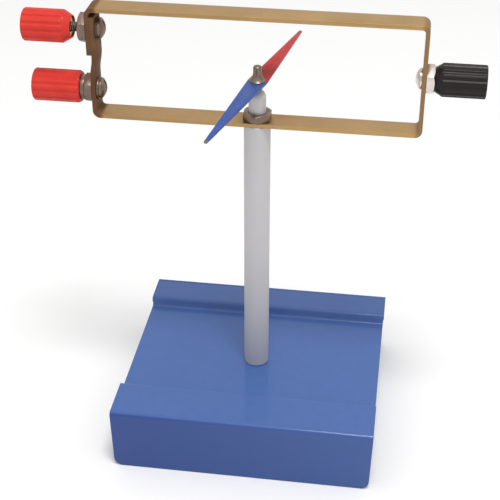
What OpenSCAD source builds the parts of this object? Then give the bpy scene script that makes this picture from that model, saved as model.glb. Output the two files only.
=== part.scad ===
// Oersted apparatus: a compass needle swings on a point inside a brass strip frame, which carries
// the current above and below it. A pillar holds the frame over a pressed steel base plate.
// Millimetres, +Z up. The origin is on the bench under the pillar's axis, and +X runs along the
// frame towards its single right-hand terminal.

/* [Base plate] */
// Width of the base plate, along X
base_width = 102.4; // [80:0.1:140]
// Depth of the base plate, along Y
base_depth = 95.9; // [76:0.1:130]
// How far the plate's middle lies behind the pillar's axis
base_setback = 0.9; // [0:0.1:4]
// Height of the raised strips above the bench
base_height = 26.5; // [20:0.5:45]
// Thickness of the base plate's sheet
base_sheet = 1.2; // [1:0.1:1.8]
// Drop from the raised strips to the deck between them
deck_drop = 3.8; // [3.2:0.1:6]
// Depth of the raised strip along the front
front_strip_depth = 19.4; // [10:0.1:22]
// Depth of the raised strip along the rear
rear_strip_depth = 15.6; // [10:0.1:22]
// Inside radius of the bends down into the flanges
flange_bend_radius = 0.6; // [0.5:0.1:3]
// Inside radius of the bends from the strips down to the deck
riser_bend_radius = 0.3; // [0.3:0.1:0.7]
// Radius of the flanges' lower corners
flange_corner_radius = 3.5; // [1:0.5:8]
// How far pressing draws in each side of the deck
deck_draw_in = 0.3; // [0.1:0.1:1]
// How much each flange narrows towards its lower edge, at each side
flange_taper = 0.7; // [0:0.1:1.5]

/* [Pillar] */
// Diameter of the pillar
pillar_diameter = 10; // [8.5:0.5:13]
// Length of the pillar from the deck to the frame
pillar_length = 109.3; // [70:0.1:160]
// Bevel around the pillar's ends
pillar_bevel = 0.4; // [0.2:0.1:0.8]
// Diameter of the stem that passes through the frame
stem_diameter = 6.5; // [5:0.5:7]
// Height of the stem's domed top above the frame's underside
stem_height = 13.4; // [11:0.1:16]
// Diameter of the screw that holds the pillar from below
base_screw_diameter = 5; // [4:0.5:6]
// Depth that the base screw reaches into the pillar
base_screw_reach = 12; // [6:1:20]
// Diameter of the base screw's head
base_screw_head_diameter = 9.5; // [8:0.5:11]
// Height of the base screw's head
base_screw_head_height = 3.4; // [2:0.1:5]
// Diameter of the washer under the deck
base_washer_diameter = 12.5; // [12:0.5:18]
// Thickness of the washer under the deck
base_washer_thickness = 1.1; // [0.8:0.1:2]

/* [Frame strip] */
// Distance from the pillar's axis to the tail's outer face, at the left
frame_left = 61.6; // [54:0.1:75]
// How far the left side's foot stands in from the tail's outer face
foot_set_in = 0.75; // [0:0.05:1.2]
// Distance from the pillar's axis to the frame's right outer face
frame_right = 60.3; // [54:0.1:75]
// Height of the frame over its outer faces
frame_height = 42.5; // [42:0.5:60]
// Width of the brass strip
strip_width = 9.5; // [9:0.1:12]
// Thickness of the brass strip
strip_thickness = 1.5; // [1.2:0.1:1.8]
// Inside radius of the frame's corners
frame_corner_radius = 1.3; // [0.5:0.1:3]
// Length of the tail that comes down outside the lap, from the frame's top
tail_length = 17.8; // [17:0.1:19]
// Thickness of the insulating sheet in the lap
lap_sheet_thickness = 0.25; // [0.2:0.05:0.5]
// Length over which the inner leg is set inwards behind the tail
joggle_length = 8; // [6:0.1:8.4]
// Gap between the inner leg's end and the arm above it
leg_end_gap = 2; // [1.8:0.1:3]
// Height of the nut that clamps the frame to the pillar
frame_nut_height = 3.2; // [3:0.1:5]
// Width of the frame nut across its flats
frame_nut_width = 10; // [9.5:0.5:12]

/* [Needle] */
// Length of the needle from tip to tip
needle_length = 102; // [70:1:104]
// Width of the needle at its middle
needle_width = 7.3; // [6.5:0.1:10]
// Width of the needle's blunt tips
needle_tip_width = 1.1; // [0.6:0.1:2]
// Thickness of the needle's blade
needle_thickness = 0.8; // [0.5:0.1:1.5]
// Angle from +Y towards +X at which the needle rests
needle_bearing = 11.7; // [0:0.1:90]
// Gap between the stem's top and the blade
needle_gap = 2.4; // [1.2:0.1:4]
// Height of the needle's cap above the blade
cap_height = 5.9; // [5:0.1:9]
// Diameter of the needle cap's neck
cap_neck_diameter = 3.2; // [3:0.1:4.4]
// Diameter of the needle cap's foot
cap_foot_diameter = 6; // [5.2:0.1:6.6]
// Diameter of the spigot that holds the cap in the blade
cap_spigot_diameter = 3.6; // [3.2:0.1:4]
// Diameter of the pivot pin
pivot_pin_diameter = 1; // [0.8:0.1:1.2]
// Depth that the pivot pin is sunk into the stem
pivot_pin_sunk = 6; // [4:0.5:8]

/* [Terminals] */
// Drop from the frame's top to the upper terminal's axis
upper_terminal_drop = 8.9; // [8.6:0.1:9.4]
// Height of the lower terminal's axis above the frame's underside
lower_terminal_rise = 10.15; // [9:0.05:10.2]
// Height of the right terminal's axis above the frame's underside
right_terminal_rise = 21.25; // [16:0.25:26]
// Thread diameter of the terminal screws
terminal_thread_diameter = 4; // [3.5:0.1:4.5]
// Length of the terminal screws beyond the strip
terminal_screw_reach = 14.5; // [11:0.1:15]
// Diameter of the terminal screws' domed heads
terminal_head_diameter = 7.6; // [7:0.1:8.4]
// Height of the terminal screws' domed heads
terminal_head_height = 2.4; // [2:0.1:2.8]
// Width of the driving slot in a screw head
slot_width = 1.1; // [0.8:0.1:1.4]
// Depth of the driving slot in a screw head
slot_depth = 1; // [0.6:0.1:1.2]
// Width of a terminal nut across its flats
terminal_nut_width = 10; // [9:0.1:10.2]
// Height of a terminal nut
terminal_nut_height = 3; // [2.2:0.1:3.4]
// Diameter of the washer between the lower terminal's nut and its cap
seat_washer_diameter = 9.4; // [8.6:0.1:10]
// Thickness of the washer between the lower terminal's nut and its cap
seat_washer_thickness = 1.5; // [0.6:0.1:2]
// Diameter of the washer under the lower terminal's screw head
head_washer_diameter = 8.4; // [7.6:0.1:9]
// Thickness of the washer under the lower terminal's screw head
head_washer_thickness = 0.8; // [0.5:0.1:1.2]
// Length of the insulating bush's flange under the upper screw's head
bush_flange_thickness = 0.8; // [0.5:0.1:1.2]
// Wall of the insulating bush's sleeve
bush_wall = 0.7; // [0.5:0.1:0.9]

/* [Thumb caps] */
// Diameter of a thumb cap
thumb_cap_diameter = 12; // [11.4:0.1:14]
// Length of a thumb cap
thumb_cap_length = 17.9; // [17:0.1:22]
// Number of flutes around a thumb cap
flute_count = 14; // [8:1:18]
// Depth of the flutes
flute_depth = 0.42; // [0.2:0.02:0.6]
// Radius of the flutes' round bottoms
flute_radius = 0.95; // [0.7:0.05:1.1]
// Rounding of a thumb cap's outer end
thumb_cap_rounding = 0.5; // [0.3:0.1:1.4]
// Length of the taper at the upper cap's inner end
upper_taper_length = 3.2; // [0.6:0.1:5]
// Length of the taper at the lower cap's inner end
lower_taper_length = 0.9; // [0.6:0.1:5]
// Length of the taper at the right cap's inner end
right_taper_length = 2.6; // [0.6:0.1:5]
// How much a taper narrows for each millimetre of its length
taper_slope = 0.6; // [0.3:0.05:0.7]
// Thickness of the wall at a cap's outer end
end_wall = 2.4; // [1.5:0.1:4]
// Diameter of the brass insert
insert_diameter = 7.4; // [7:0.1:8]
// Diameter of the plug socket in the insert's outer end
socket_diameter = 4.1; // [4:0.02:4.2]
// Depth of the plug socket in the insert
socket_depth = 3.4; // [2.5:0.1:3.6]
// Distance that the upper cap stands unscrewed from its nut
upper_cap_opening = 2.625; // [0:0.175:4.2]

/* [Fits] */
// Radial clearance of the stem, the base screw and the bush in their holes
hole_clearance = 0.1; // [0.05:0.01:0.15]
// Radial clearance of the terminal screws' crests in the strip
shank_hole_clearance = 0.25; // [0.2:0.05:0.3]
// How much wider than the socket the opening in a cap's end is, all round
cap_mouth_clearance = 0.45; // [0.3:0.05:0.6]
// Radial clearance between parts that turn on each other
running_clearance = 0.05; // [0.02:0.01:0.1]
// Gap between faces that pass or meet when a cap is screwed home
face_gap = 0.1; // [0.05:0.05:0.2]
// Play around the pivot pin inside the needle's cap
pivot_play = 0.45; // [0.3:0.05:0.5]

/* [Hidden] */
$fn = 64;
over = 1;

riser_outer_radius = riser_bend_radius + base_sheet;
flange_outer_radius = flange_bend_radius + base_sheet;
base_front_y = base_setback - base_depth / 2;
base_rear_y = base_setback + base_depth / 2;
front_riser_y = base_front_y + front_strip_depth;
rear_riser_y = base_rear_y - rear_strip_depth;
deck_z = base_height - deck_drop;

frame_z = deck_z + pillar_length;
frame_top_z = frame_z + frame_height;
corner_outer_radius = frame_corner_radius + strip_thickness;
tail_end_z = frame_top_z - tail_length;
leg_set_in = strip_thickness + lap_sheet_thickness;
leg_face_x = -frame_left + leg_set_in;
foot_face_x = -frame_left + foot_set_in;
leg_end_z = frame_top_z - strip_thickness - leg_end_gap;
joggle_gap = 1;
joggle_end_z = tail_end_z - joggle_gap;
joggle_start_z = joggle_end_z - joggle_length;
joggle_steps = 12;

stem_radius = stem_diameter / 2;
stem_top_z = frame_z + stem_height;
blade_z = stem_top_z + needle_gap;
blade_top_z = blade_z + needle_thickness;
spigot_radius = cap_spigot_diameter / 2;
rivet_lip = 0.3;
rivet_spread = 0.4;
cap_foot_edge = 0.3;
cap_neck_share = 0.4;
cap_top_share = 0.6;
cap_waist_z = blade_top_z + cap_height * (1 - cap_neck_share);
pin_radius = pivot_pin_diameter / 2;
pin_point_height = 1.4;
pin_tip_radius = 0.05;
pivot_rise = 3.5;
pivot_gap = 0.1;
pivot_z = blade_top_z + pivot_rise;
cavity_radius = pin_radius + pivot_play;
cavity_roof_z = pivot_z + pivot_gap - cavity_radius;

thread_inset = 0.2;
thread_radius = terminal_thread_diameter / 2 - thread_inset;
thread_hole_radius = thread_radius + running_clearance;
shank_hole_radius = terminal_thread_diameter / 2 + shank_hole_clearance;
bush_radius = shank_hole_radius + bush_wall;
bush_hole_radius = bush_radius + hole_clearance;
bush_flange_margin = 0.3;
stem_hole_radius = stem_radius + hole_clearance;
base_screw_hole_radius = base_screw_diameter / 2 + hole_clearance;
tapping_allowance = 2;
head_side_share = 0.35;
head_overlap = 0.5;
insert_start = 0.6;
insert_end = thumb_cap_length - end_wall - face_gap;
nut_face_share = 0.95;
nut_bevel_angle = 30;

upper_axis_z = frame_top_z - upper_terminal_drop;
lower_axis_z = frame_z + lower_terminal_rise;
right_axis_z = frame_z + right_terminal_rise;
single_grip = strip_thickness;
lap_grip = 2 * strip_thickness + lap_sheet_thickness + bush_flange_thickness;

brass = [0.68, 0.56, 0.35];
steel = [0.58, 0.57, 0.56];
nickel = [0.70, 0.68, 0.67];
aluminium = [0.70, 0.70, 0.72];
blue_paint = [0.33, 0.45, 0.70];
fibre = [0.30, 0.20, 0.14];
red_plastic = [0.84, 0.20, 0.17];
black_plastic = [0.13, 0.11, 0.12];

// Corner piece between a quarter arc about the origin and the square corner at [r, r]
module spandrel(r) {
    difference() {
        square(r);
        circle(r);
    }
}

function polar(r, angle) = [r * cos(angle), r * sin(angle)];

// Points along an arc, from one angle to another
function arc(centre, r, from, to, steps = 10) =
    [for (i = [0:steps]) centre + polar(r, from + (to - from) * i / steps)];

// Rectangle from two opposite corners
module rectangle(low, high) {
    translate(low) square(high - low);
}

// Hexagonal nut blank whose upper corners, and lower ones if asked, are turned off
module nut_blank(width, height, bevel_below = true) {
    face_radius = width / 2 * nut_face_share;
    wide_radius = face_radius + height / tan(nut_bevel_angle);
    intersection() {
        cylinder(h = height, r = width / 2 / cos(30), $fn = 6);
        cylinder(h = height, r1 = wide_radius, r2 = face_radius);
        cylinder(h = height, r1 = bevel_below ? face_radius : wide_radius, r2 = wide_radius);
    }
}

// Surface of the base plate in section, seen along X, set inwards from the outer one
module base_skin(inset) {
    floor_z = deck_z - inset;
    roof_z = base_height - inset;
    front_y = front_riser_y - inset;
    rear_y = rear_riser_y + inset;
    flange_radius = flange_outer_radius - inset;
    crest_radius = riser_outer_radius - inset;
    foot_radius = riser_bend_radius + inset;
    difference() {
        rectangle([base_front_y + inset, -inset], [base_rear_y - inset, roof_z]);
        translate([base_front_y + flange_outer_radius, base_height - flange_outer_radius])
            rotate(90) spandrel(flange_radius);
        translate([base_rear_y - flange_outer_radius, base_height - flange_outer_radius])
            spandrel(flange_radius);
        difference() {
            rectangle([front_y, floor_z], [rear_y, roof_z + over]);
            translate([front_y + foot_radius, floor_z + foot_radius]) rotate(180) spandrel(foot_radius);
            translate([rear_y - foot_radius, floor_z + foot_radius]) rotate(270) spandrel(foot_radius);
        }
        translate([front_y - crest_radius, roof_z - crest_radius]) spandrel(crest_radius);
        translate([rear_y + crest_radius, roof_z - crest_radius]) rotate(90) spandrel(crest_radius);
    }
}

// Sweeps a section drawn in Y and Z along X
module along_x(length) {
    rotate([90, 0, 90]) linear_extrude(length, center = true) children();
}

// Sweeps an outline drawn in X and Z along Y
module along_y(length) {
    rotate([90, 0, 0]) linear_extrude(length, center = true) children();
}

// What is cut off the flanges' right ends: a slight taper and a round lower corner
module flange_end_cut() {
    low_x = base_width / 2 - flange_taper;
    polygon([
        [low_x, -over], [low_x, 0], [base_width / 2, base_height - flange_outer_radius],
        [base_width / 2 + over, base_height - flange_outer_radius], [base_width / 2 + over, -over]
    ]);
    translate([low_x - flange_corner_radius, flange_corner_radius])
        mirror([0, 1]) spandrel(flange_corner_radius);
}

module base_plate() {
    deck_length = rear_riser_y - front_riser_y;
    color(blue_paint) difference() {
        along_x(base_width) base_skin(0);
        along_x(base_width + 2 * over) base_skin(base_sheet);
        for (side = [0, 1]) mirror([side, 0, 0]) {
            translate([0, base_setback, 0]) along_y(base_depth + 2 * over) flange_end_cut();
            translate([base_width / 2 - deck_draw_in, front_riser_y, deck_z - base_sheet - over])
                cube([deck_draw_in + over, deck_length, base_sheet + deck_drop]);
        }
        cylinder(h = base_height, r = base_screw_hole_radius);
    }
}

module base_washer() {
    color(steel) translate([0, 0, deck_z - base_sheet - base_washer_thickness]) difference() {
        cylinder(h = base_washer_thickness, d = base_washer_diameter);
        translate([0, 0, -over])
            cylinder(h = base_washer_thickness + 2 * over, r = base_screw_hole_radius);
    }
}

// Domed screw head on the plane z = 0 that rises to +Z, with its driving slot
module domed_head(diameter, height) {
    side_height = height * head_side_share;
    dome_height = height - side_height;
    dome_radius = (pow(diameter / 2, 2) + pow(dome_height, 2)) / (2 * dome_height);
    difference() {
        intersection() {
            cylinder(h = height, d = diameter);
            translate([0, 0, height - dome_radius]) sphere(dome_radius);
        }
        translate([-slot_width / 2, -diameter, height - slot_depth])
            cube([slot_width, 2 * diameter, slot_depth + over]);
    }
}

module base_screw() {
    seat_z = deck_z - base_sheet - base_washer_thickness;
    color(steel) union() {
        translate([0, 0, seat_z]) mirror([0, 0, 1])
            domed_head(base_screw_head_diameter, base_screw_head_height);
        translate([0, 0, seat_z - head_overlap])
            cylinder(h = deck_z - seat_z + head_overlap + base_screw_reach, d = base_screw_diameter);
    }
}

module pillar() {
    radius = pillar_diameter / 2;
    tapped_depth = base_screw_reach + tapping_allowance;
    color(aluminium) difference() {
        union() {
            translate([0, 0, deck_z]) rotate_extrude() polygon([
                [0, 0], [radius - pillar_bevel, 0], [radius, pillar_bevel],
                [radius, pillar_length - pillar_bevel], [radius - pillar_bevel, pillar_length],
                [0, pillar_length]
            ]);
            translate([0, 0, frame_z - over])
                cylinder(h = stem_height - stem_radius + over, r = stem_radius);
            translate([0, 0, stem_top_z - stem_radius]) sphere(stem_radius);
        }
        translate([0, 0, deck_z - over])
            cylinder(h = tapped_depth + over, r = base_screw_hole_radius);
        translate([0, 0, stem_top_z - pivot_pin_sunk])
            cylinder(h = pivot_pin_sunk + over, r = pin_radius);
    }
}

module pivot_pin() {
    pin_length = pivot_z - stem_top_z + pivot_pin_sunk;
    color(steel) translate([0, 0, stem_top_z - pivot_pin_sunk]) rotate_extrude() polygon([
        [0, 0], [pin_radius, 0], [pin_radius, pin_length - pin_point_height],
        [pin_tip_radius, pin_length], [0, pin_length]
    ]);
}

// Outer face of the left side where it eases inwards, to pass behind the tail
function joggle_point(step, depth) = [
    foot_face_x + (leg_face_x - foot_face_x) * (1 - cos(180 * step / joggle_steps)) / 2 + depth,
    joggle_start_z + joggle_length * step / joggle_steps
];

// One face of the strip seen from the front, from the tail's end all the way round to the leg's
function strip_face(depth) =
    let (
        corner = corner_outer_radius,
        r = corner - depth
    ) [
        [-frame_left + depth, tail_end_z],
        each arc([-frame_left + corner, frame_top_z - corner], r, 180, 90),
        each arc([frame_right - corner, frame_top_z - corner], r, 90, 0),
        each arc([frame_right - corner, frame_z + corner], r, 0, -90),
        each arc([foot_face_x + corner, frame_z + corner], r, 270, 180),
        for (step = [0:joggle_steps]) joggle_point(step, depth),
        [leg_face_x + depth, leg_end_z]
    ];

// The strip between its outer and its inner face
module strip_outline() {
    inner = strip_face(strip_thickness);
    polygon([each strip_face(0), for (i = [len(inner) - 1:-1:0]) inner[i]]);
}

// Hole through the strip along X, from one x to another
module cross_hole(from_x, to_x, z, r) {
    translate([from_x, 0, z]) rotate([0, 90, 0]) cylinder(h = to_x - from_x, r = r);
}

module frame_strip() {
    lap_middle_x = leg_face_x - lap_sheet_thickness / 2;
    left_x = -frame_left - over;
    inner_x = leg_face_x + strip_thickness + over;
    color(brass) difference() {
        along_y(strip_width) strip_outline();
        translate([0, 0, frame_z - over])
            cylinder(h = strip_thickness + 2 * over, r = stem_hole_radius);
        cross_hole(left_x, lap_middle_x, upper_axis_z, shank_hole_radius);
        cross_hole(lap_middle_x, inner_x, upper_axis_z, bush_hole_radius);
        cross_hole(left_x, inner_x, lower_axis_z, shank_hole_radius);
        cross_hole(frame_right - strip_thickness - over, frame_right + over, right_axis_z,
                   shank_hole_radius);
    }
}

module frame_nut() {
    color(nickel) translate([0, 0, frame_z + strip_thickness]) difference() {
        rotate(30) nut_blank(frame_nut_width, frame_nut_height);
        translate([0, 0, -over]) cylinder(h = frame_nut_height + 2 * over, r = stem_hole_radius);
    }
}

module lap_insulator() {
    tail_face_x = -frame_left + strip_thickness;
    color(fibre) difference() {
        along_y(strip_width) rectangle([tail_face_x, tail_end_z], [leg_face_x, leg_end_z]);
        cross_hole(tail_face_x - over, leg_face_x + over, upper_axis_z, bush_hole_radius);
    }
}

// Places what is drawn along +Z, outwards from the strip's outer face at face_x
module at_terminal(face_x, axis_z) {
    translate([face_x, 0, axis_z]) rotate([0, sign(face_x) * 90, 0]) children();
}

module insulating_bush() {
    flange_radius = terminal_head_diameter / 2 + bush_flange_margin;
    color(fibre) at_terminal(-frame_left, upper_axis_z) translate([0, 0, -lap_grip]) difference() {
        union() {
            cylinder(h = bush_flange_thickness, r = flange_radius);
            cylinder(h = lap_grip - strip_thickness, r = bush_radius);
        }
        translate([0, 0, -over]) cylinder(h = lap_grip + 2 * over, r = shank_hole_radius);
    }
}

// Screw whose head bears inside the strip and whose thread carries the nut and the cap
module terminal_screw(grip) {
    color(steel) union() {
        translate([0, 0, -grip]) mirror([0, 0, 1]) rotate(90)
            domed_head(terminal_head_diameter, terminal_head_height);
        translate([0, 0, -grip - head_overlap])
            cylinder(h = grip + head_overlap + terminal_screw_reach, r = thread_radius);
    }
}

module terminal_nut() {
    color(nickel) difference() {
        nut_blank(terminal_nut_width, terminal_nut_height, false);
        translate([0, 0, -over]) cylinder(h = terminal_nut_height + 2 * over, r = thread_hole_radius);
    }
}

// Plain washer that starts at z = 0
module washer(diameter, thickness) {
    color(nickel) difference() {
        cylinder(h = thickness, d = diameter);
        translate([0, 0, -over]) cylinder(h = thickness + 2 * over, r = shank_hole_radius);
    }
}

// The threaded tube inside a cap, with the plug socket in its outer end
module terminal_insert() {
    color(brass) difference() {
        translate([0, 0, insert_start]) cylinder(h = insert_end - insert_start, d = insert_diameter);
        cylinder(h = insert_end, r = thread_hole_radius);
        translate([0, 0, insert_end - socket_depth])
            cylinder(h = socket_depth + over, d = socket_diameter);
    }
}

// Moulded thumb cap: a fluted barrel, tapered where it meets the nut
module thumb_cap(taper_length) {
    radius = thumb_cap_diameter / 2;
    taper_depth = taper_length * taper_slope;
    bore_radius = insert_diameter / 2 + running_clearance;
    difference() {
        rotate_extrude() difference() {
            polygon([
                [0, 0], [radius - taper_depth, 0], [radius, taper_length],
                [radius, thumb_cap_length], [0, thumb_cap_length]
            ]);
            translate([radius - thumb_cap_rounding, thumb_cap_length - thumb_cap_rounding])
                spandrel(thumb_cap_rounding);
        }
        for (flute = [0:flute_count - 1])
            rotate(360 / flute_count * (flute + 0.5))
                translate([radius + flute_radius - flute_depth, 0, -over])
                    cylinder(h = thumb_cap_length + 2 * over, r = flute_radius, $fn = 24);
        translate([0, 0, -over])
            cylinder(h = thumb_cap_length - end_wall + over, r = bore_radius);
        cylinder(h = thumb_cap_length + over, r = socket_diameter / 2 + cap_mouth_clearance);
    }
}

// Places what is drawn along +Z on a terminal's nut, stand_off away from it
module on_nut(face_x, axis_z, stand_off) {
    at_terminal(face_x, axis_z) translate([0, 0, terminal_nut_height + face_gap + stand_off]) children();
}

module upper_screw() { at_terminal(-frame_left, upper_axis_z) terminal_screw(lap_grip); }
module upper_nut() { at_terminal(-frame_left, upper_axis_z) terminal_nut(); }
module upper_insert() { on_nut(-frame_left, upper_axis_z, upper_cap_opening) terminal_insert(); }
module upper_cap() {
    color(red_plastic) on_nut(-frame_left, upper_axis_z, upper_cap_opening) thumb_cap(upper_taper_length);
}

module lower_screw() {
    at_terminal(foot_face_x, lower_axis_z) terminal_screw(single_grip + head_washer_thickness);
}
module lower_head_washer() {
    at_terminal(foot_face_x, lower_axis_z) translate([0, 0, -single_grip - head_washer_thickness])
        washer(head_washer_diameter, head_washer_thickness);
}
module lower_nut() { at_terminal(foot_face_x, lower_axis_z) terminal_nut(); }
module lower_washer() {
    at_terminal(foot_face_x, lower_axis_z) translate([0, 0, terminal_nut_height])
        washer(seat_washer_diameter, seat_washer_thickness);
}
module lower_insert() { on_nut(foot_face_x, lower_axis_z, seat_washer_thickness) terminal_insert(); }
module lower_cap() {
    color(red_plastic) on_nut(foot_face_x, lower_axis_z, seat_washer_thickness)
        thumb_cap(lower_taper_length);
}

module right_screw() { at_terminal(frame_right, right_axis_z) terminal_screw(single_grip); }
module right_nut() { at_terminal(frame_right, right_axis_z) terminal_nut(); }
module right_insert() { on_nut(frame_right, right_axis_z, 0) terminal_insert(); }
module right_cap() {
    color(black_plastic) on_nut(frame_right, right_axis_z, 0) thumb_cap(right_taper_length);
}

// One painted half of the blade, towards +Y, with the joint on the middle line
module blade_half() {
    difference() {
        linear_extrude(needle_thickness) polygon([
            [-needle_width / 2, 0], [needle_width / 2, 0],
            [needle_tip_width / 2, needle_length / 2], [-needle_tip_width / 2, needle_length / 2]
        ]);
        translate([0, 0, -over]) cylinder(h = needle_thickness + 2 * over, r = spigot_radius);
    }
}

module needle_blade() {
    translate([0, 0, blade_z]) rotate(-needle_bearing) {
        color([0.78, 0.20, 0.16]) blade_half();
        color([0.22, 0.34, 0.66]) rotate(180) blade_half();
    }
}

// Turned cap: a neck that flares into a foot, with a spigot riveted under the blade
module needle_cap() {
    neck_radius = cap_neck_diameter / 2;
    foot_radius = cap_foot_diameter / 2;
    foot_top_z = blade_top_z + cap_foot_edge;
    flare_height = cap_waist_z - foot_top_z;
    flare_run = foot_radius - neck_radius;
    flare_radius = (pow(flare_run, 2) + pow(flare_height, 2)) / (2 * flare_run);
    top_rounding = neck_radius * cap_top_share;
    top_z = blade_top_z + cap_height;
    color(nickel) difference() {
        rotate_extrude() polygon([
            [0, blade_z - rivet_lip], [spigot_radius, blade_z - rivet_lip],
            [spigot_radius + rivet_spread, blade_z], [spigot_radius, blade_z],
            [spigot_radius, blade_top_z], [foot_radius, blade_top_z],
            each arc([neck_radius + flare_radius, cap_waist_z], flare_radius,
                     180 + asin(flare_height / flare_radius), 180),
            each arc([neck_radius - top_rounding, top_z - top_rounding], top_rounding, 0, 90),
            [0, top_z]
        ]);
        translate([0, 0, blade_z - over])
            cylinder(h = cavity_roof_z - blade_z + over, r = cavity_radius);
        translate([0, 0, cavity_roof_z]) cylinder(h = cavity_radius, r1 = cavity_radius, r2 = 0);
    }
}

base_plate();
base_washer();
base_screw();
pillar();
pivot_pin();
frame_strip();
frame_nut();
lap_insulator();
insulating_bush();
needle_blade();
needle_cap();
upper_screw();
upper_nut();
upper_insert();
upper_cap();
lower_screw();
lower_head_washer();
lower_nut();
lower_washer();
lower_insert();
lower_cap();
right_screw();
right_nut();
right_insert();
right_cap();
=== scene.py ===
"""Oersted apparatus, dressed for a photograph: painted base plate, turned pillar, brushed strip
frame, painted needle and three fluted thumb caps. Metres, +Z up, origin under the pillar."""
import math

import bmesh
import bpy
from mathutils import Matrix, Vector


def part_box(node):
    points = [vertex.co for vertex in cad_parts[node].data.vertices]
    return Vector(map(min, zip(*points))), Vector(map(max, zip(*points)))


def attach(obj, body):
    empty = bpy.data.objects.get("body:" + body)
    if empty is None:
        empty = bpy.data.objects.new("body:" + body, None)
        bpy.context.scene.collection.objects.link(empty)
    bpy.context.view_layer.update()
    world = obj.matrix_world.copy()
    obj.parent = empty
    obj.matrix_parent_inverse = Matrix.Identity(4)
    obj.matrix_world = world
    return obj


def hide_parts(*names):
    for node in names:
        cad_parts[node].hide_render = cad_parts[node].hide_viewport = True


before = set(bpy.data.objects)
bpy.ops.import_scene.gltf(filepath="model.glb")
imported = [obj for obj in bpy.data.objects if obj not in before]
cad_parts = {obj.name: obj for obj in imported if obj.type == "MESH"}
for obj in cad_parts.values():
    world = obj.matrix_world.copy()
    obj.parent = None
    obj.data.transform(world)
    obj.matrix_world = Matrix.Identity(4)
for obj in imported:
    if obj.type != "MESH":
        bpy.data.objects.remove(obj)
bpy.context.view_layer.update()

MM = 0.001

# Base plate: the risers' faces towards the deck, how the press leaves them, the sheet and its bends
FRONT_RISER_Y, REAR_RISER_Y = -27.65 * MM, 33.25 * MM
RISER_LEAN, DECK_DRAW_IN = 1.3 * MM, 0.3 * MM
BASE_SHEET, SHEET_EDGE = 1.2 * MM, 0.22 * MM
FLANGE_BEND, STRIP_BEND, FOOT_BEND = 0.6 * MM, 0.3 * MM, 1.3 * MM
FLANGE_TAPER, FLANGE_CORNER = 0.7 * MM, 3.5 * MM
PLATE_STEP, LIP_STEPS = 0.6 * MM, (0, 0.3, 0.65)

# Pillar: stem, the strip that it clamps, its bevels, and the holes for base screw and pivot pin
STEM_RADIUS, STRIP_THICKNESS, PILLAR_BEVEL = 3.25 * MM, 1.5 * MM, 0.4 * MM
TAPPED_RADIUS, TAPPED_DEPTH, DRILL_POINT = 2.6 * MM, 14 * MM, 1.2 * MM
PIVOT_HOLE_RADIUS, PIVOT_HOLE_DEPTH = 0.5 * MM, 6 * MM
PIN_TAPER, PIN_TIP_RADIUS = 1.4 * MM, 0.05 * MM

# Needle: its bearing from +Y, its unpainted tips, and the cap's foot, neck, spigot and cavity
NEEDLE_BEARING, NEEDLE_BARE_TIP = math.radians(11.7), 1.6 * MM
NEEDLE_CAP_NECK, NEEDLE_CAP_FOOT, NEEDLE_CAP_SPIGOT = 1.6 * MM, 3 * MM, 1.8 * MM
NEEDLE_CAP_CAVITY, NEEDLE_CAP_APEX = 0.95 * MM, 3.6 * MM
NEEDLE_CAP_FOOT_HEIGHT, NEEDLE_CAP_WAIST, FLARE_STEPS = 0.3 * MM, 0.6, 16

# Terminals: the screws' thread, the caps' shell and flutes, and the inserts inside them
THREAD_PITCH, THREAD_CREST, THREAD_ROOT = 0.7 * MM, 1.79 * MM, 1.5 * MM
THREAD_START, THREAD_RUNOUT, CORE_INSET = 0.3 * MM, 0.7 * MM, 0.12 * MM
CAP_BORE_RADIUS, CAP_MOUTH_RADIUS, CAP_END_WALL = 3.75 * MM, 2.5 * MM, 2.4 * MM
CAP_TAPER_SLOPE, CAP_STEP = 0.6, 0.55 * MM
UPPER_TAPER, LOWER_TAPER, RIGHT_TAPER = 3.2 * MM, 0.9 * MM, 2.6 * MM
FLUTES, FLUTE_RADIUS, FLUTE_DEPTH, FLUTE_SOFTNESS = 14, 0.95 * MM, 0.42 * MM, 0.16 * MM
SOCKET_RADIUS, SOCKET_DEPTH, INSERT_BORE_RADIUS = 2.05 * MM, 3.4 * MM, 1.85 * MM

# Mesh: how near points are merged, and the angles at which faces join, edges are rounded and
# shading breaks
MERGE_WITHIN = 0.002 * MM
FLAT_ANGLE, EDGE_ANGLE, SHADE_ANGLE = math.radians(0.5), math.radians(32), math.radians(38)

# Light: how much the dome has at its horizon, how it brightens upwards and to the rear, its tint,
# and the soft box's place, target, size and watts
DOME_LEVEL, DOME_RISE, DOME_TINT = 0.68, (0.0, 0.06, 0.14), (1, 0.995, 0.99, 1)
SOFT_BOX_PLACE, SOFT_BOX_TARGET = (0.16, -0.40, 1.40), (0, 0, 0.08)
SOFT_BOX_SIZE, SOFT_BOX_WATTS = 0.4, 12.0
FLOOR_RADIUS, FLOOR_SEGMENTS = 4, 48

# The photograph's camera
CAMERA_PLACE, CAMERA_LOOKS = (0.05431, -0.39690, 0.32917), (-0.12026, 0.83707, -0.53372)
LENS_MM, SENSOR_MM, CLIP_NEAR, CLIP_FAR = 86.733, 36, 0.01, 20


class Nodes:
    """Adds nodes to a tree and joins them up."""

    def __init__(self, tree):
        self.tree = tree

    def node(self, kind, inputs=(), **settings):
        made = self.tree.nodes.new(kind)
        for key, value in settings.items():
            setattr(made, key, value)
        for key, value in dict(inputs).items():
            self.feed(made.inputs[key], value)
        return made

    def feed(self, socket, value):
        """A link from another socket, or else a plain value."""
        if isinstance(value, bpy.types.NodeSocket):
            self.tree.links.new(value, socket)
        else:
            socket.default_value = value

    def sums(self, operation, first, second=0.0, third=0.0):
        made = self.node("ShaderNodeMath", operation=operation)
        for socket, value in zip(made.inputs, (first, second, third)):
            self.feed(socket, value)
        return made.outputs[0]


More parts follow.
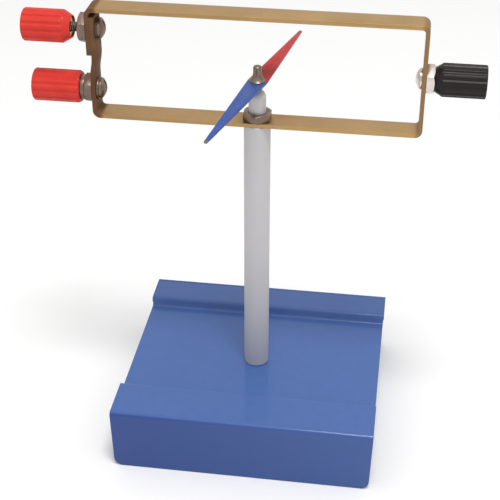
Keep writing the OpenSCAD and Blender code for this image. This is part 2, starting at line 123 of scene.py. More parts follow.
class Finish(Nodes):
    """A Principled material and the few node chains that the finishes below share."""

    def __init__(self, name, colour, **sockets):
        self.material = bpy.data.materials.new(name)
        self.material.use_nodes = True
        super().__init__(self.material.node_tree)
        self.surface = self.tree.nodes["Principled BSDF"]
        self.surface.inputs["Base Color"].default_value = (*colour, 1)
        for key, value in sockets.items():
            socket = key.replace("_", " ").title().replace("Ior", "IOR")
            self.surface.inputs[socket].default_value = value
        self.material.diffuse_color = (*colour, 1)
        self.height = None

    def place(self, stretch):
        """Object coordinates, stretched."""
        coordinates = self.node("ShaderNodeTexCoord").outputs["Object"]
        inputs = {"Vector": coordinates, "Scale": stretch}
        return self.node("ShaderNodeMapping", inputs).outputs["Vector"]

    def axis(self, name):
        """One Object coordinate, in metres."""
        coordinates = self.node("ShaderNodeTexCoord").outputs["Object"]
        return self.node("ShaderNodeSeparateXYZ", {"Vector": coordinates}).outputs[name]

    def clouds(self, scale, detail=3, roughness=0.5, stretch=(1, 1, 1), distortion=0):
        inputs = {"Vector": self.place(stretch), "Scale": scale, "Detail": detail,
                  "Roughness": roughness, "Distortion": distortion}
        return self.node("ShaderNodeTexNoise", inputs).outputs["Fac"]

    def lines(self, axis, scale, detail=4):
        """Fine lines square to one axis: noise along that axis alone."""
        inputs = {"W": self.axis(axis), "Scale": scale, "Detail": detail, "Roughness": 0.7}
        return self.node("ShaderNodeTexNoise", inputs, noise_dimensions="1D").outputs["Fac"]

    def spread(self, value, low, high, to_low, to_high, smooth=False):
        inputs = {"Value": value, "From Min": low, "From Max": high,
                  "To Min": to_low, "To Max": to_high}
        kind = "SMOOTHSTEP" if smooth else "LINEAR"
        return self.node("ShaderNodeMapRange", inputs, interpolation_type=kind).outputs["Result"]

    def blend(self, share, first, second):
        made = self.node("ShaderNodeMix", data_type="RGBA", clamp_factor=True)
        factor, start, end = made.inputs[0], made.inputs[6], made.inputs[7]
        for socket, value in ((factor, share), (start, first), (end, second)):
            if isinstance(value, tuple):
                value = (*value, 1)
            self.feed(socket, value)
        return made.outputs[2]

    def colour(self, value):
        self.feed(self.surface.inputs["Base Color"], value)

    def rough(self, value):
        self.feed(self.surface.inputs["Roughness"], value)

    def metallic(self, value):
        self.feed(self.surface.inputs["Metallic"], value)

    def relief(self, height, depth, strength=1.0):
        """Adds bumps of that depth in metres to those already there."""
        inputs = {"Height": height, "Distance": depth, "Strength": strength}
        if self.height is not None:
            inputs["Normal"] = self.height
        self.height = self.node("ShaderNodeBump", inputs).outputs["Normal"]
        self.feed(self.surface.inputs["Normal"], self.height)


# Finishes

def blue_paint():
    """Stoved blue paint on pressed steel: faint orange peel, soft gloss, painted shade on the
    flanges.
    """
    middle, thick, thin = (0.047, 0.108, 0.312), (0.056, 0.122, 0.346), (0.039, 0.090, 0.285)
    # The flange colour is painted shade: the flanges are coloured darker where less light falls on
    # them.
    flange_shade, flange_from, flange_to, half_width = (0.018, 0.056, 0.235), 45.5 * MM, 47 * MM, 50 * MM
    paint = Finish("blue_paint", (0.048, 0.108, 0.325), specular_ior_level=0.25, coat_weight=0.4,
                   coat_roughness=0.08)
    mottle = paint.spread(paint.clouds(260, 2), 0.35, 0.75, 0, 0.25)
    shade = paint.blend(mottle, paint.blend(paint.clouds(22, 3), middle, thick), thin)
    away = paint.sums("ABSOLUTE", paint.axis("Y"))
    # Painted shade: reach picks out the front and rear flanges, and across darkens them more
    # towards the left.
    reach = paint.spread(away, flange_from, flange_to, 0, 1, smooth=True)
    across = paint.spread(paint.axis("X"), -half_width, half_width, 1.0, 0.45)
    paint.colour(paint.blend(paint.sums("MULTIPLY", reach, across), shade, flange_shade))
    paint.rough(paint.spread(paint.clouds(60, 4), 0.3, 0.7, 0.36, 0.48))
    paint.relief(paint.clouds(750, 2), 0.02 * MM, 0.4)
    paint.relief(paint.clouds(90, 2), 0.06 * MM, 0.2)
    return paint.material


def turned_aluminium():
    """Satin anodised rod: fine rings from the lathe under a milky skin, dull handling marks."""
    dark, pale, handled = (0.48, 0.47, 0.485), (0.58, 0.57, 0.58), (0.54, 0.515, 0.505)
    metal = Finish("aluminium", (0.55, 0.54, 0.55), metallic=0.25, specular_ior_level=0.3)
    rings = metal.lines("Z", 2600)
    bands = metal.spread(metal.lines("Z", 160, 3), 0.3, 0.7, 0, 0.35)
    smears = metal.clouds(45, 4, stretch=(1, 1, 0.25))
    metal.colour(metal.blend(bands, metal.blend(smears, dark, pale), handled))
    metal.rough(metal.spread(metal.sums("ADD", rings, smears), 0.7, 1.3, 0.42, 0.56))
    metal.relief(rings, 0.02 * MM, 0.35)
    return metal.material


def brushed_brass():
    """Rolled strip with drawing lines along its length, its legs browned by oxide and painted
    shade.
    """
    worn, clean, line = (0.48, 0.31, 0.135), (0.60, 0.39, 0.18), (0.37, 0.23, 0.098)
    # The brown stands for oxide and also paints in shade and dark reflection on the legs.
    oxide_and_shade_brown, speck_brown = (0.105, 0.043, 0.022), (0.22, 0.125, 0.062)
    metal = Finish("brass_strip", (0.54, 0.345, 0.16), specular_ior_level=0.1)
    drawn, clouds, specks = metal.lines("Y", 5200), metal.clouds(70, 5, 0.6), metal.clouds(900, 3)
    bright = metal.blend(metal.spread(clouds, 0.3, 0.7, 0, 1), worn, clean)
    lined = metal.blend(metal.spread(drawn, 0.3, 0.7, 0, 0.45), bright, line)
    # Painted shade and dark reflection, partly oxide: brown on both legs, most on the left, and on
    # the arms growing towards the left.
    left = metal.spread(metal.axis("X"), -56 * MM, -58.5 * MM, 0, 1, smooth=True)
    right = metal.spread(metal.axis("X"), 57 * MM, 59.2 * MM, 0, 0.55, smooth=True)
    arms_oxide_and_shade = metal.spread(metal.axis("X"), 30 * MM, -55 * MM, 0, 0.22, smooth=True)
    legs_oxide_and_shade = metal.sums("MAXIMUM", metal.sums("MAXIMUM", left, right), arms_oxide_and_shade)
    oxide_and_shade = metal.sums("MULTIPLY", legs_oxide_and_shade, metal.spread(clouds, 0.25, 0.75, 0.75, 1.0))
    stained_and_shaded = metal.blend(oxide_and_shade, lined, oxide_and_shade_brown)
    metal.colour(metal.blend(metal.spread(specks, 0.62, 0.8, 0, 0.35), stained_and_shaded, speck_brown))
    metal.metallic(metal.spread(oxide_and_shade, 0, 1, 0.85, 0.1))
    polish = metal.spread(metal.sums("ADD", drawn, clouds), 0.7, 1.3, 0.36, 0.50)
    metal.rough(metal.sums("MULTIPLY_ADD", oxide_and_shade, 0.30, polish))
    metal.relief(drawn, 0.012 * MM, 0.4)
    metal.relief(specks, 0.01 * MM, 0.3)
    return metal.material


def turned_brass():
    """Clean turned brass inside the caps."""
    metal = Finish("insert_brass", (0.50, 0.36, 0.16), metallic=1.0)
    rings = metal.lines("X", 5200)
    metal.colour(metal.blend(metal.clouds(300, 3), (0.42, 0.29, 0.12), (0.56, 0.41, 0.19)))
    metal.rough(metal.spread(rings, 0.3, 0.7, 0.26, 0.40))
    metal.relief(rings, 0.012 * MM, 0.4)
    return metal.material


def nickel_plate():
    """Satin nickel, browner towards the left terminals by dulling and painted shade, with painted
    shade below.
    """
    grey, bright, dark_brown, pale_brown = ((0.62, 0.54, 0.52), (0.78, 0.70, 0.68),
                                            (0.20, 0.145, 0.110), (0.33, 0.255, 0.205))
    # underside is a painted shade colour for faces that look downwards.
    underside_shade, dull_and_shade_full, dull_and_shade_none = (0.085, 0.052, 0.032), 0.0, 56 * MM
    metal = Finish("nickel", (0.52, 0.46, 0.43))
    smudges = metal.clouds(330, 4, 0.6)
    patches = metal.spread(smudges, 0.3, 0.7, 0, 1)
    # Painted shade: faces that look downwards are coloured darker.
    normal = metal.node("ShaderNodeTexCoord").outputs["Normal"]
    upwards = metal.node("ShaderNodeSeparateXYZ", {0: normal}).outputs["Z"]
    downward_shade = metal.spread(upwards, 0.6, -0.9, 0, 1)
    brown = metal.blend(downward_shade, metal.blend(patches, dark_brown, pale_brown), underside_shade)
    # Painted shade, partly real dulling: the nickel turns browner towards the left terminals.
    dulled_and_shaded = metal.spread(metal.axis("X"), dull_and_shade_full, dull_and_shade_none, 1.0, 0.0, smooth=True)
    metal.colour(metal.blend(dulled_and_shaded, metal.blend(patches, grey, bright), brown))
    metal.metallic(metal.spread(dulled_and_shaded, 0, 1, 1.0, 0.85))
    metal.rough(metal.spread(metal.sums("SUBTRACT", dulled_and_shaded, smudges), -0.7, 0.7, 0.20, 0.36))
    metal.relief(metal.clouds(2600, 2), 0.008 * MM, 0.3)
    return metal.material


def zinc_steel():
    """Zinc-plated steel under the deck and on the pivot."""
    metal = Finish("steel", (0.50, 0.50, 0.49), metallic=1.0)
    spangle = metal.clouds(420, 4)
    metal.colour(metal.blend(spangle, (0.42, 0.42, 0.41), (0.58, 0.575, 0.55)))
    metal.rough(metal.spread(spangle, 0.3, 0.7, 0.26, 0.42))
    metal.relief(metal.clouds(1800, 3), 0.01 * MM, 0.4)
    return metal.material


def insulating_fibre():
    """Brown vulcanised fibre: dull, with short pale fibres."""
    board = Finish("fibre", (0.075, 0.038, 0.022))
    strands = board.clouds(1500, 3, stretch=(1, 0.25, 1), distortion=1.5)
    pale = board.spread(strands, 0.4, 0.75, 0, 1)
    board.colour(board.blend(pale, (0.060, 0.030, 0.018), (0.13, 0.075, 0.045)))
    board.rough(board.spread(strands, 0.3, 0.7, 0.55, 0.75))
    board.relief(strands, 0.03 * MM, 0.4)
    return board.material


def moulded_plastic(name, colour, deep, rough_low, rough_high, specular):
    """Moulded thumb cap: smooth skin, faint flow marks and a fine grain."""
    plastic = Finish(name, colour, specular_ior_level=specular)
    flow = plastic.spread(plastic.clouds(120, 3, distortion=0.8), 0.3, 0.7, 0, 1)
    plastic.colour(plastic.blend(flow, colour, deep))
    plastic.rough(plastic.spread(plastic.clouds(500, 3), 0.3, 0.7, rough_low, rough_high))
    plastic.relief(plastic.clouds(1900, 2), 0.015 * MM, 0.35)
    return plastic.material


def needle_paint():
    """One half red and the other blue, with the line across the pivot and bare steel tips."""
    wobble, line_softness, tip_softness = 0.22 * MM, 0.06 * MM, 0.4 * MM
    bare_steel = (0.22, 0.18, 0.17)
    paint = Finish("needle_paint", (0.38, 0.018, 0.018), specular_ior_level=0.1, coat_weight=0.12,
                   coat_roughness=0.06)
    strokes = paint.clouds(260, 3)
    red = paint.blend(strokes, (0.32, 0.018, 0.018), (0.44, 0.032, 0.030))
    blue = paint.blend(strokes, (0.034, 0.072, 0.250), (0.050, 0.098, 0.310))
    bearing = (math.sin(NEEDLE_BEARING), math.cos(NEEDLE_BEARING), 0)
    along = paint.node("ShaderNodeVectorMath", {1: bearing}, operation="DOT_PRODUCT")
    paint.feed(along.inputs[0], paint.node("ShaderNodeTexCoord").outputs["Object"])
    unsteady = paint.spread(paint.clouds(700, 3), 0.3, 0.7, -wobble, wobble)
    place = paint.sums("ADD", along.outputs["Value"], unsteady)
    painted = paint.blend(paint.spread(place, -line_softness, line_softness, 0, 1), blue, red)
    low, high = cad_box_of("needle_blade")
    bare_from = (high - low).y / 2 / math.cos(NEEDLE_BEARING) - NEEDLE_BARE_TIP
    bare = paint.spread(paint.sums("ABSOLUTE", place), bare_from, bare_from + tip_softness, 0, 1)
    paint.colour(paint.blend(bare, painted, bare_steel))
    paint.metallic(bare)
    paint.rough(paint.spread(paint.clouds(400, 3), 0.3, 0.7, 0.32, 0.44))
    paint.relief(paint.clouds(1100, 2), 0.015 * MM, 0.3)
    return paint.material


def studio_white():
    sweep = Finish("studio_floor", (0.85, 0.85, 0.85), roughness=0.9, specular_ior_level=0.1)
    sweep.colour(sweep.blend(sweep.clouds(3, 2), (0.845, 0.845, 0.845), (0.855, 0.855, 0.855)))
    return sweep.material


# Mesh tools

def cad_box_of(node):
    """A CAD node's lowest and highest corners at rest."""
    low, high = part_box(node)
    return Vector(low), Vector(high)


def rounded_profile(corners, longest=None, closed=False, steps=5):
    """Points (r, z) along corners (r, z, rounding), with long runs cut to the longest step."""
    count = len(corners)
    points = []
    for i, (r, z, rounding) in enumerate(corners):
        here = Vector((r, z))
        if rounding and (closed or 0 < i < count - 1):
            back = Vector(corners[i - 1][:2]) - here
            ahead = Vector(corners[(i + 1) % count][:2]) - here
            half_angle = back.angle(ahead) / 2
            reach = min(rounding / math.tan(half_angle), back.length * 0.49, ahead.length * 0.49)
            radius = reach * math.tan(half_angle)
            inwards = (back.normalized() + ahead.normalized()).normalized()
            centre = here + inwards * radius / math.sin(half_angle)
            first, last = here + back.normalized() * reach, here + ahead.normalized() * reach
            start = math.atan2(first.y - centre.y, first.x - centre.x)
            sweep = math.atan2(last.y - centre.y, last.x - centre.x) - start
            sweep = (sweep + math.pi) % (2 * math.pi) - math.pi
            angles = [start + sweep * k / steps for k in range(steps + 1)]
            points += [centre + radius * Vector((math.cos(a), math.sin(a))) for a in angles]
        else:
            points.append(here)
    if longest:
        ends = points[1:] + ([points[0]] if closed else [])
        cut = []
        for a, b in zip(points, ends):
            parts = max(1, math.ceil((b - a).length / longest))
            cut += [a.lerp(b, k / parts) for k in range(parts)]
        points = cut if closed else cut + [points[-1]]
    return points


def turned(profile, segments=96, closed=False):
    """Mesh turned about Z from (r, z) points. Points on the axis become poles."""
    made = bmesh.new()
    rings = []
    for r, z in profile:
        if r < 1e-7:
            rings.append([made.verts.new((0, 0, z))])
        else:
            turns = [2 * math.pi * k / segments for k in range(segments)]
            rings.append([made.verts.new((r * math.cos(a), r * math.sin(a), z)) for a in turns])
    pairs = list(zip(rings, rings[1:] + ([rings[0]] if closed else [])))
    for lower, upper in pairs[:len(rings) if closed else len(rings) - 1]:
        for k in range(segments):
            after = (k + 1) % segments
            corners = [lower[k % len(lower)], lower[after % len(lower)],
                       upper[after % len(upper)], upper[k % len(upper)]]
            corners = list(dict.fromkeys(corners))
            if len(corners) > 2:
                made.faces.new(corners)
    bmesh.ops.recalc_face_normals(made, faces=made.faces)
    mesh = bpy.data.meshes.new("turned")
    made.to_mesh(mesh)
    made.free()
    return mesh


def merged_copy(node):
    """A CAD node's mesh with its loose triangles joined and its flat faces whole."""
    made = bmesh.new()
    made.from_mesh(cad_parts[node].data)
    bmesh.ops.remove_doubles(made, verts=made.verts, dist=MERGE_WITHIN)
    bmesh.ops.dissolve_limit(made, angle_limit=FLAT_ANGLE, verts=made.verts, edges=made.edges)
    mesh = bpy.data.meshes.new(node + "_copy")
    made.to_mesh(mesh)
    made.free()
    return mesh


def piece(name, mesh, body, slot, material, *nodes):
    """A finished piece in place, smooth except at sharp edges, that stands for its CAD nodes."""
    mesh.name = name
    mesh.materials.clear()
    mesh.materials.append(material)
    made = bpy.data.objects.new(name, mesh)
    bpy.context.scene.collection.objects.link(made)
    mesh.shade_smooth()
    mesh.set_sharp_from_angle(angle=SHADE_ANGLE)
    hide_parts(*nodes)
    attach(made, body)
    return made


def baked(made):
    """The mesh that an object's modifiers give, and the object gone."""
    shown = made.evaluated_get(bpy.context.evaluated_depsgraph_get())
    mesh = bpy.data.meshes.new_from_object(shown)
    bpy.data.objects.remove(made)
    return mesh


def rounded_edges(mesh, width, segments=3, miter="MITER_ARC"):
    """The mesh with its sharp edges rounded off."""
    made = bpy.data.objects.new("edged", mesh)
    bpy.context.scene.collection.objects.link(made)
    bevel = made.modifiers.new("edges", "BEVEL")
    bevel.width, bevel.segments, bevel.miter_outer = width, segments, miter
    bevel.limit_method, bevel.angle_limit = "ANGLE", EDGE_ANGLE
    return baked(made)


def softened(name, node, width, body, slot, material, segments=3):
    """A CAD node's copy whose sharp edges are rounded off."""
    mesh = rounded_edges(merged_copy(node), width, segments)
    return piece(name, mesh, body, slot, material, node)


# Terminals' own axes: +Z runs outwards from the strip's outer face

def terminal_face(node):
    """The strip's outer face at a terminal, and the side it looks to: the nut sits on it."""
    low, high = cad_box_of(node.split("_")[0] + "_nut")
    return (high.x, -1) if low.x < 0 else (low.x, 1)


def terminal_place(node):
    """Matrix from a terminal's own axis, +Z outwards from the strip's outer face, to the frame."""
    low, high = cad_box_of(node)
    face_x, side = terminal_face(node)
    outwards = Matrix.Rotation(side * math.pi / 2, 4, "Y")
    return Matrix.Translation((face_x, 0, (low.z + high.z) / 2)) @ outwards


def along_terminal(node):
    """How far from the strip's outer face a node starts and ends."""
    low, high = cad_box_of(node)
    face_x, side = terminal_face(node)
    return sorted(((low.x - face_x) * side, (high.x - face_x) * side))


# Node trees for repeated shapes

class Rule(Nodes):
    """A Geometry Nodes tree with named inputs, used once and then taken off."""

    def __init__(self, name, **inputs):
        super().__init__(bpy.data.node_groups.new(name, "GeometryNodeTree"))
        face = self.tree.interface
        face.new_socket("Geometry", in_out="INPUT", socket_type="NodeSocketGeometry")
        face.new_socket("Geometry", in_out="OUTPUT", socket_type="NodeSocketGeometry")
        self.values = {}
        for key, value in inputs.items():
            kind = ("NodeSocketMaterial" if isinstance(value, bpy.types.Material)
                    else "NodeSocketInt" if isinstance(value, int) else "NodeSocketFloat")
            socket = face.new_socket(self.label(key), in_out="INPUT", socket_type=kind)
            self.values[socket.identifier] = value
        self.source = self.tree.nodes.new("NodeGroupInput")
        self.target = self.tree.nodes.new("NodeGroupOutput")

    @staticmethod
    def label(key):
        return key.replace("_", " ").capitalize()

    def given(self, key):
        return self.source.outputs[self.label(key)]

    def end(self, geometry):
        real = self.node("GeometryNodeRealizeInstances", {"Geometry": geometry}).outputs[0]
        inputs = {"Geometry": real, "Material": self.given("finish")}
        self.feed(self.target.inputs[0], self.node("GeometryNodeSetMaterial", inputs).outputs[0])

    def applied(self, mesh):
        """The mesh after this rule."""
        made = bpy.data.objects.new("ruled", mesh)
        bpy.context.scene.collection.objects.link(made)
        modifier = made.modifiers.new("rule", "NODES")
        modifier.node_group = self.tree
        for identifier, value in self.values.items():
            modifier[identifier] = value
        return baked(made)


def fluted(mesh, barrel_radius, finish):
    """Presses round-bottomed flutes into a barrel about Z, with soft ridge edges."""
    rule = Rule("cap_flutes", flutes=FLUTES, barrel_radius=barrel_radius, flute_radius=FLUTE_RADIUS,
                flute_depth=FLUTE_DEPTH, softness=FLUTE_SOFTNESS, finish=finish)
    sums, given = rule.sums, rule.given
    position = rule.node("GeometryNodeInputPosition").outputs[0]
    x, y, z = rule.node("ShaderNodeSeparateXYZ", {0: position}).outputs
    period = sums("DIVIDE", 2 * math.pi, given("flutes"))
    turn = sums("FLOORED_MODULO", sums("ARCTAN2", y, x), period)
    offset = sums("SUBTRACT", turn, sums("MULTIPLY", period, 0.5))
    outside = sums("ADD", given("barrel_radius"), given("flute_radius"))
    centre = sums("SUBTRACT", outside, given("flute_depth"))
    across = sums("MULTIPLY", sums("SINE", offset), centre)
    radius_squared = sums("POWER", given("flute_radius"), 2.0)
    inside = sums("SUBTRACT", radius_squared, sums("MULTIPLY", across, across))
    dip = sums("SQRT", sums("MAXIMUM", inside, 0.0))
    bottom = sums("SUBTRACT", sums("MULTIPLY", sums("COSINE", offset), centre), dip)
    floor = sums("ADD", bottom, sums("LESS_THAN", inside, 0.0))
    radius = sums("SQRT", sums("ADD", sums("MULTIPLY", x, x), sums("MULTIPLY", y, y)))
    share = sums("DIVIDE", sums("SMOOTH_MIN", radius, floor, given("softness")), radius)
    scaled = {0: sums("MULTIPLY", x, share), 1: sums("MULTIPLY", y, share), 2: z}
    moved = rule.node("ShaderNodeCombineXYZ", scaled).outputs[0]
    inputs = {"Geometry": given("geometry"), "Position": moved}
    rule.end(rule.node("GeometryNodeSetPosition", inputs).outputs[0])
    return rule.applied(mesh)


def threaded(mesh, start, length, finish):
    """Adds a right-hand thread along +Z to a core."""
    resolution, flank_share = 32, 0.41
    rule = Rule("screw_thread", pitch=THREAD_PITCH, start=start, length=length, crest=THREAD_CREST,
                root=THREAD_ROOT, finish=finish)
    sums, given = rule.sums, rule.given
    middle = sums("MULTIPLY", sums("ADD", given("crest"), given("root")), 0.5)
    spiral = rule.node("GeometryNodeCurveSpiral", {
        "Resolution": resolution, "Rotations": sums("DIVIDE", given("length"), given("pitch")),
        "Start Radius": middle, "End Radius": middle, "Height": given("length")})
    upright = rule.node("GeometryNodeSetCurveNormal", {"Curve": spiral.outputs[0]}, mode="Z_UP")
    flank = sums("MULTIPLY", given("pitch"), flank_share)
    ridge = rule.node("GeometryNodeCurvePrimitiveQuadrilateral", {
        "Width": sums("SUBTRACT", given("crest"), given("root")),
        "Bottom Height": flank, "Top Height": flank}, mode="KITE")
    swept = rule.node("GeometryNodeCurveToMesh", {
        "Curve": upright.outputs[0], "Profile Curve": ridge.outputs[0], "Fill Caps": True})
    lift = rule.node("ShaderNodeCombineXYZ", {2: given("start")}).outputs[0]
    placed = rule.node("GeometryNodeTransform", {"Geometry": swept.outputs[0], "Translation": lift})
    joined = rule.node("GeometryNodeJoinGeometry")
    rule.tree.links.new(placed.outputs[0], joined.inputs[0])
    rule.tree.links.new(given("geometry"), joined.inputs[0])
    rule.end(joined.outputs[0])
    return rule.applied(mesh)


# The pieces

def sheet_loop(centre, normal, end, half_sheet, rounding):
    """The sheet's outline at one point of its path: two faces and two rounded edges, across X."""
    arc = [(end - rounding + rounding * math.sin(math.radians(30 * k)),
            half_sheet - rounding + rounding * math.cos(math.radians(30 * k))) for k in range(4)]
    corner = [(end - rounding - SHEET_EDGE, half_sheet)] + arc
    loop = []
    for side, face in ((1, 1), (1, -1), (-1, -1), (-1, 1)):
        for x, out in corner if side == face else corner[::-1]:
            place = centre + normal * out * face
            loop.append(Vector((x * side, place.x, place.y)))
    return loop


def plate_end(y, z):
    """Half the plate's width at a point of the sheet.

    The flanges taper down to rounded corners, and the deck is drawn in."""
    low, high = cad_box_of("base_plate")
    straight = high.z - BASE_SHEET - FLANGE_BEND
    if z < straight and not low.y + 2 * BASE_SHEET < y < high.y - 2 * BASE_SHEET:
        corner = max(0, FLANGE_CORNER - z)
        return (high.x - FLANGE_TAPER * (1 - z / straight)
                - FLANGE_CORNER + math.sqrt(FLANGE_CORNER ** 2 - corner ** 2))
    return high.x - DECK_DRAW_IN * (FRONT_RISER_Y < y < REAR_RISER_Y)


def sheet_lip(centre, normal, half_sheet):
    """The rounded lower end of a flange, as loops from its edge inwards."""
    smallest = 0.03 * MM
    loops = []
    for share in LIP_STEPS:
        lift = share * SHEET_EDGE
        inset = (1 - math.sqrt(1 - (1 - share) ** 2)) * SHEET_EDGE
        end, rounding = plate_end(centre.x, lift) - inset, max(SHEET_EDGE - inset, smallest)
        place = centre + Vector((0, lift))
        loops.append(sheet_loop(place, normal, end, half_sheet - inset, rounding))
    return loops


def pressed_plate(material):
    """The base as a press leaves it: one sheet along a path with open bends and leaning risers."""
    low, high = cad_box_of("base_plate")
    half = BASE_SHEET / 2
    strip_z, deck_z = high.z - half, cad_box_of("pillar")[0].z - half
    front_y, rear_y = FRONT_RISER_Y - half, REAR_RISER_Y + half
    path = rounded_profile([
        (low.y + half, 0, 0), (low.y + half, strip_z, FLANGE_BEND + half),
        (front_y, strip_z, STRIP_BEND + half), (front_y + RISER_LEAN, deck_z, FOOT_BEND + half),
        (rear_y - RISER_LEAN, deck_z, FOOT_BEND + half), (rear_y, strip_z, STRIP_BEND + half),
        (high.y - half, strip_z, FLANGE_BEND + half), (high.y - half, 0, 0)
    ], longest=PLATE_STEP, steps=7)
    loops, last = [], len(path) - 1
    for i, here in enumerate(path):
        along = (path[min(i + 1, last)] - path[max(i - 1, 0)]).normalized()
        normal = Vector((-along.y, along.x))
        if i == 0:
            loops += sheet_lip(here, normal, half)
        elif i == last:
            loops += sheet_lip(here, normal, half)[::-1]
        else:
            loops.append(sheet_loop(here, normal, plate_end(here.x, here.y), half, SHEET_EDGE))
    made = bmesh.new()
    rings = [[made.verts.new(point) for point in loop] for loop in loops]
    for ring, after in zip(rings, rings[1:]):
        for k in range(len(ring)):
            following = (k + 1) % len(ring)
            made.faces.new((ring[k], ring[following], after[following], after[k]))
    made.faces.new(rings[0][::-1])
    made.faces.new(rings[-1])
    bmesh.ops.recalc_face_normals(made, faces=made.faces)
    mesh = bpy.data.meshes.new("pressed_plate")
    made.to_mesh(mesh)
    made.free()
    return piece("base_plate_painted", mesh, "stand", "blue_paint", material, "base_plate")


def pillar(material):
    """Turned rod with a stem, a domed top, a tapped hole below and a hole for the pivot pin."""
    low, high = cad_box_of("pillar")
    radius = (high.x - low.x) / 2
    shoulder = cad_box_of("frame_nut")[0].z - STRIP_THICKNESS
    dome_centre, hole_z = high.z - STEM_RADIUS, high.z - PIVOT_HOLE_DEPTH
    angles = [math.radians(5 * k) for k in range(1, 17)]
    dome = [Vector((STEM_RADIUS * math.cos(a), dome_centre + STEM_RADIUS * math.sin(a)))
            for a in angles]
    profile = rounded_profile([
        (0, low.z + TAPPED_DEPTH, 0), (TAPPED_RADIUS, low.z + TAPPED_DEPTH - DRILL_POINT, 0),
        (TAPPED_RADIUS, low.z, 0.1 * MM), (radius - PILLAR_BEVEL, low.z, 0.08 * MM),
        (radius, low.z + PILLAR_BEVEL, 0.15 * MM), (radius, shoulder - PILLAR_BEVEL, 0.15 * MM),
        (radius - PILLAR_BEVEL, shoulder, 0.08 * MM), (STEM_RADIUS, shoulder, 0),
        (STEM_RADIUS, dome_centre, 0)], steps=3)
    hole = [(PIVOT_HOLE_RADIUS, high.z - 0.04 * MM), (PIVOT_HOLE_RADIUS, hole_z), (0, hole_z)]
    mesh = turned(profile + dome + [Vector(point) for point in hole], 128)
    piece("pillar_turned", mesh, "stand", "aluminium", material, "pillar")


def pivot_pin(material):
    """Ground steel point."""
    low, high = cad_box_of("pivot_pin")
    radius = (high.x - low.x) / 2
    profile = rounded_profile([
        (0, low.z, 0), (radius, low.z, 0.08 * MM), (radius, high.z - PIN_TAPER, 0.2 * MM),
        (PIN_TIP_RADIUS, high.z, 0.03 * MM), (0, high.z, 0)], steps=4)
    piece("pivot_pin_ground", turned(profile, 48), "stand", "steel", material, "pivot_pin")


def needle_cap(material):
    """Turned cap over the pivot: spigot and cavity below, flared foot, and round-topped neck."""
    low, high = cad_box_of("needle_cap")
    blade_low, blade_high = cad_box_of("needle_blade")
    foot, neck, spigot = NEEDLE_CAP_FOOT, NEEDLE_CAP_NECK, NEEDLE_CAP_SPIGOT
    waist = blade_high.z + (high.z - blade_high.z) * NEEDLE_CAP_WAIST
    foot_top = blade_high.z + NEEDLE_CAP_FOOT_HEIGHT
    rise, run = waist - foot_top, foot - neck
    flare = (run * run + rise * rise) / (2 * run)
    sweep = math.asin(rise / flare)
    angles = [sweep * (1 - k / FLARE_STEPS) for k in range(1, FLARE_STEPS + 1)]
    curve = [Vector((neck + flare - flare * math.cos(a), waist - flare * math.sin(a)))
             for a in angles]
    top = rounded_profile([
        (neck, waist, 0), (neck, high.z, neck * 0.6), (0, high.z, 0)], steps=8)[1:]
    cavity, apex = NEEDLE_CAP_CAVITY, blade_high.z + NEEDLE_CAP_APEX
    under = rounded_profile([
        (0, apex, 0), (cavity, apex - cavity, 0.1 * MM), (cavity, low.z, 0.1 * MM),
        (spigot, low.z, 0.12 * MM), (spigot + 0.4 * MM, blade_low.z, 0), (spigot, blade_low.z, 0),
        (spigot, blade_high.z, 0), (foot, blade_high.z, 0.06 * MM), (foot, foot_top, 0)], steps=3)
    mesh = turned(under + curve + top, 96)
    piece("needle_cap_turned", mesh, "needle", "nickel", material, "needle_cap")


def thumb_cap(name, node, taper_length, body, slot, material):
    """A cap's shell about its terminal's axis: taper, fluted barrel, end wall and bore."""
    low, high = cad_box_of(node)
    start, end = along_terminal(node)
    length, radius = end - start, (high.z - low.z) / 2
    floor = length - CAP_END_WALL
    profile = rounded_profile([
        (CAP_BORE_RADIUS, 0, 0.2 * MM), (radius - taper_length * CAP_TAPER_SLOPE, 0, 0.3 * MM),
        (radius, taper_length, 0.8 * MM), (radius, length, 0.55 * MM),
        (CAP_MOUTH_RADIUS, length, 0.35 * MM), (CAP_MOUTH_RADIUS, floor, 0),
        (CAP_BORE_RADIUS, floor, 0)
    ], longest=CAP_STEP, closed=True)
    mesh = fluted(turned(profile, FLUTES * 16, closed=True), radius, material)
    mesh.transform(terminal_place(node) @ Matrix.Translation((0, 0, start)))
    return piece(name, mesh, body, slot, material, node)


def insert(name, node, body, slot, material):
    """A cap's brass insert: a tube with the wider socket at its outer end."""
    start, end = along_terminal(node)
    low, high = cad_box_of(node)
    radius, step = (high.z - low.z) / 2, end - SOCKET_DEPTH
    profile = rounded_profile([
        (INSERT_BORE_RADIUS, start, 0.3 * MM), (radius, start, 0.25 * MM), (radius, end, 0.25 * MM),
        (SOCKET_RADIUS, end, 0.25 * MM), (SOCKET_RADIUS, step, 0), (INSERT_BORE_RADIUS, step, 0)
    ], closed=True, steps=3)
    mesh = turned(profile, 72, closed=True)
    mesh.transform(terminal_place(node))
    return piece(name, mesh, body, slot, material, node)


def screw(name, node, material):
    """Domed head from the CAD node, its shaft turned down past the strip, and a thread along it."""
    place = terminal_place(node)
    start, end = along_terminal(node)
    end_face, on_axis = 0.05 * MM, 0.1 * MM
    made = bmesh.new()
    made.from_mesh(merged_copy(node))
    made.transform(place.inverted())
    for vertex in made.verts:
        out = math.hypot(vertex.co.x, vertex.co.y)
        if vertex.co.z > end - end_face and out > on_axis:
            vertex.co.x *= (THREAD_ROOT - CORE_INSET) / out
            vertex.co.y *= (THREAD_ROOT - CORE_INSET) / out
    mesh = bpy.data.meshes.new(name)
    made.to_mesh(mesh)
    made.free()
    core = rounded_edges(mesh, 0.14 * MM, miter="MITER_SHARP")
    threads = threaded(core, THREAD_START, end - THREAD_RUNOUT, material)
    threads.transform(place)
    return piece(name, threads, "stand", "nickel", material, node)


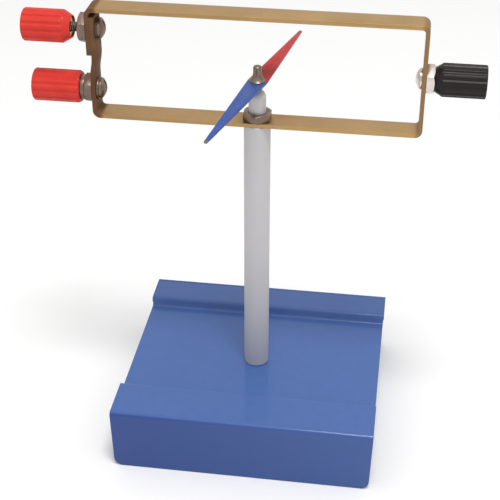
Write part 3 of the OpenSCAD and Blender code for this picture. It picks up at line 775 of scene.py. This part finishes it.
def dress_everything():
    """Every piece of the apparatus with its finish, from the base up."""
    blue, aluminium, brass = blue_paint(), turned_aluminium(), brushed_brass()
    insert_brass, nickel = turned_brass(), nickel_plate()
    steel, fibre = zinc_steel(), insulating_fibre()
    red = moulded_plastic("red_plastic", (0.64, 0.036, 0.022), (0.56, 0.026, 0.016),
                          0.36, 0.48, 0.3)
    black = moulded_plastic("black_plastic", (0.015, 0.012, 0.012), (0.021, 0.017, 0.016),
                            0.28, 0.38, 0.18)
    painted = needle_paint()

    pressed_plate(blue)
    softened("base_washer_plated", "base_washer", 0.1 * MM, "stand", "steel", steel)
    softened("base_screw_plated", "base_screw", 0.12 * MM, "stand", "steel", steel)
    softened("frame_strip_brushed", "frame_strip", 0.22 * MM, "stand", "brass_strip", brass)
    softened("frame_nut_plated", "frame_nut", 0.16 * MM, "stand", "nickel", nickel)
    softened("lap_insulator_sheet", "lap_insulator", 0.03 * MM, "stand", "fibre", fibre, 2)
    softened("insulating_bush_fibre", "insulating_bush", 0.1 * MM, "stand", "fibre", fibre, 2)
    softened("needle_blade_painted", "needle_blade", 0.24 * MM, "needle", "needle_paint", painted)
    pillar(aluminium)
    pivot_pin(steel)
    needle_cap(nickel)

    for side, taper, plastic, slot in (("upper", UPPER_TAPER, red, "red_plastic"),
                                       ("lower", LOWER_TAPER, red, "red_plastic"),
                                       ("right", RIGHT_TAPER, black, "black_plastic")):
        cap, inner = side + "_cap", side + "_insert"
        thumb_cap(cap + "_moulded", cap, taper, cap, slot, plastic)
        insert(inner + "_turned", inner, inner, "insert_brass", insert_brass)
        softened(side + "_nut_plated", side + "_nut", 0.14 * MM, "stand", "nickel", nickel)
        screw(side + "_screw_threaded", side + "_screw", nickel)
    for node in ("lower_washer", "lower_head_washer"):
        softened(node + "_plated", node, 0.12 * MM, "stand", "nickel", nickel)


def aimed(held, place, direction):
    """Puts a light or camera in place, looking along a direction."""
    held.location = place
    held.rotation_euler = Vector(direction).to_track_quat("-Z", "Y").to_euler()
    bpy.context.scene.collection.objects.link(held)
    return held


def studio():
    """Plain pale floor, one soft box above in front on the right, and a pale dome."""
    floor = turned([(0, 0), (FLOOR_RADIUS, 0)], FLOOR_SEGMENTS)
    floor.name = "studio_floor"
    floor.materials.append(studio_white())
    sweep = bpy.data.objects.new("studio_floor", floor)
    bpy.context.scene.collection.objects.link(sweep)

    world = bpy.data.worlds.new("studio")
    bpy.context.scene.world = world
    world.use_nodes = True
    dome = Nodes(world.node_tree)
    sky = dome.tree.nodes["Background"]
    rise = dome.node("ShaderNodeVectorMath", {1: DOME_RISE}, operation="DOT_PRODUCT")
    dome.feed(rise.inputs[0], dome.node("ShaderNodeTexCoord").outputs["Generated"])
    dome.feed(sky.inputs["Strength"], dome.sums("ADD", rise.outputs["Value"], DOME_LEVEL))
    dome.feed(sky.inputs["Color"], DOME_TINT)

    lamp = bpy.data.lights.new("overhead_light", "AREA")
    lamp.shape, lamp.energy = "RECTANGLE", SOFT_BOX_WATTS
    lamp.size = lamp.size_y = SOFT_BOX_SIZE
    aimed(bpy.data.objects.new("overhead_light", lamp), SOFT_BOX_PLACE,
          Vector(SOFT_BOX_TARGET) - Vector(SOFT_BOX_PLACE))
    bpy.context.scene.view_settings.view_transform = "Standard"


def camera():
    """The photograph's view: slightly from the right, 32 degrees down."""
    lens = bpy.data.cameras.new("photo_view")
    lens.lens, lens.sensor_width, lens.sensor_fit = LENS_MM, SENSOR_MM, "HORIZONTAL"
    lens.clip_start, lens.clip_end = CLIP_NEAR, CLIP_FAR
    view = bpy.data.objects.new("photo_view", lens)
    bpy.context.scene.camera = aimed(view, CAMERA_PLACE, CAMERA_LOOKS)


dress_everything()
studio()
camera()
